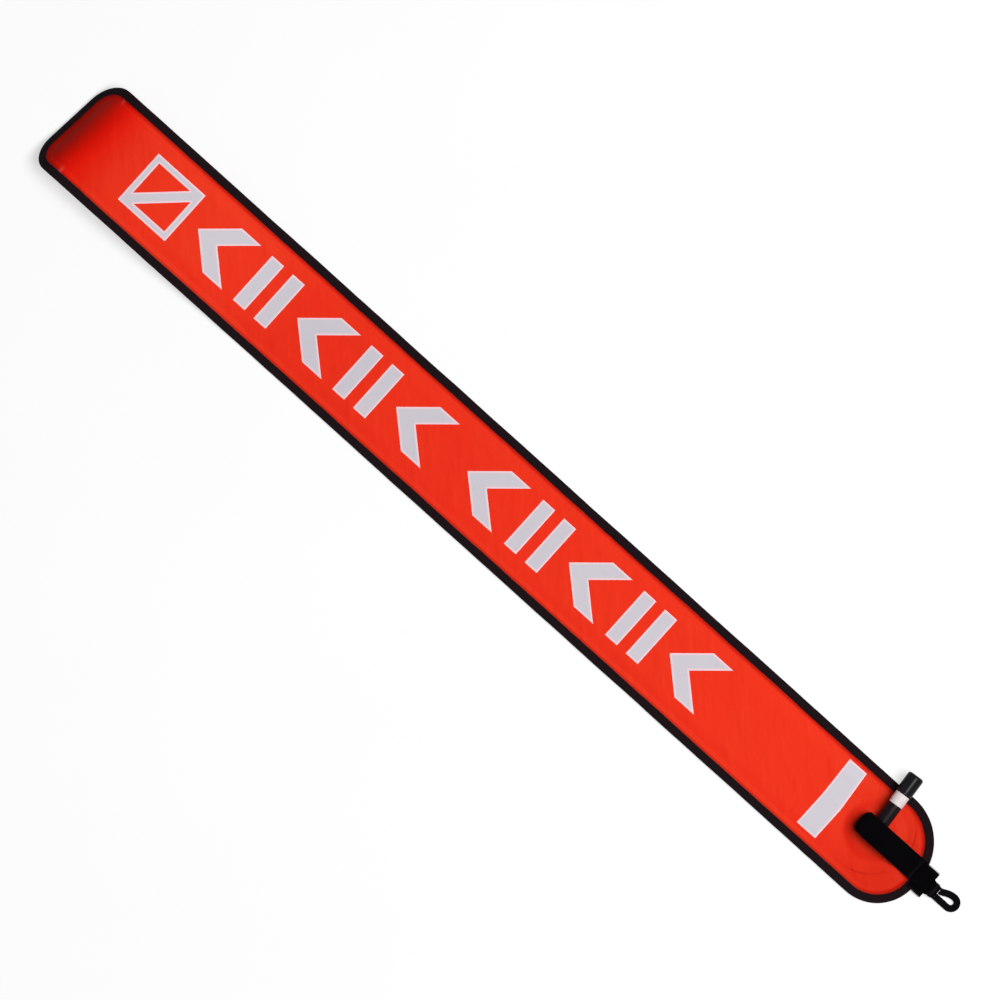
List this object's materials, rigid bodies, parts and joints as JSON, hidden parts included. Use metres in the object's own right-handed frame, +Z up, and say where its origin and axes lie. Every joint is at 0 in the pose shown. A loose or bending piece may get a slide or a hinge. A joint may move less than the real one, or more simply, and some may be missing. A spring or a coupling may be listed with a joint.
{
  "type": "surface marker buoy",
  "caption": "Long narrow inflatable dive marker tube with reflective signs, taped edge, swivelling push-to-open oral inflator under a webbing loop, and a cord loop at its end.",
  "frame": {"origin": "on the underside of the rear sheet, which the buoy lies on, halfway along and across the bag", "axes": "+Y along the bag to its top end, away from the inflator; +X to its right, where the inflator's mouthpiece points; +Z up out of the front sheet"},
  "size_m": [0.1343, 1.1905, 0.0339],
  "materials": {
    "coated_fabric": "bright red-orange coated nylon, satin",
    "edge_tape": "black woven binding tape, matt",
    "webbing": "black webbing, matt",
    "cord": "black braided cord, matt",
    "black_plastic": "black moulded plastic, semi-gloss",
    "white_sleeve": "off-white band, satin",
    "seal_rubber": "matt",
    "stainless_steel": "turned and drawn"
  },
  "bodies": {
    "bag": {"front_panel": "coated_fabric", "rear_panel": "coated_fabric", "edge_binding": "edge_tape", "valve_flange": "black_plastic", "neck_gasket": "seal_rubber", "union_nut": "black_plastic", "strap_loop": "webbing", "bottom_tab": "webbing", "strap_anchor": "webbing", "cord_loop_outer": "cord", "cord_loop_inner": "cord"},
    "inflator": {"swivel_elbow": "black_plastic", "spigot_seal": "seal_rubber", "barrel": "black_plastic", "band_sleeve": "white_sleeve", "mouthpiece_seal": "seal_rubber", "return_spring": "stainless_steel"},
    "mouthpiece": {"mouthpiece": "black_plastic", "valve_stem": "stainless_steel", "poppet_washer": "seal_rubber", "poppet_plate": "black_plastic", "stem_nut": "stainless_steel"}
  },
  "joints": [
    {"name": "inflator_swivel", "type": "hinge", "parent": "bag", "child": "inflator", "pos_m": [0.0065, -0.5097, 0.0179], "axis": [0, 0, 1], "range_deg": [-35, 20]},
    {"name": "mouthpiece_push", "type": "slide", "parent": "inflator", "child": "mouthpiece", "axis": [-0.9954, -0.0958, 0], "range_m": [0, 0.004], "stiffness_N_per_m": 1000, "springref_m": -0.002, "deforming": ["return_spring"]}
  ]
}
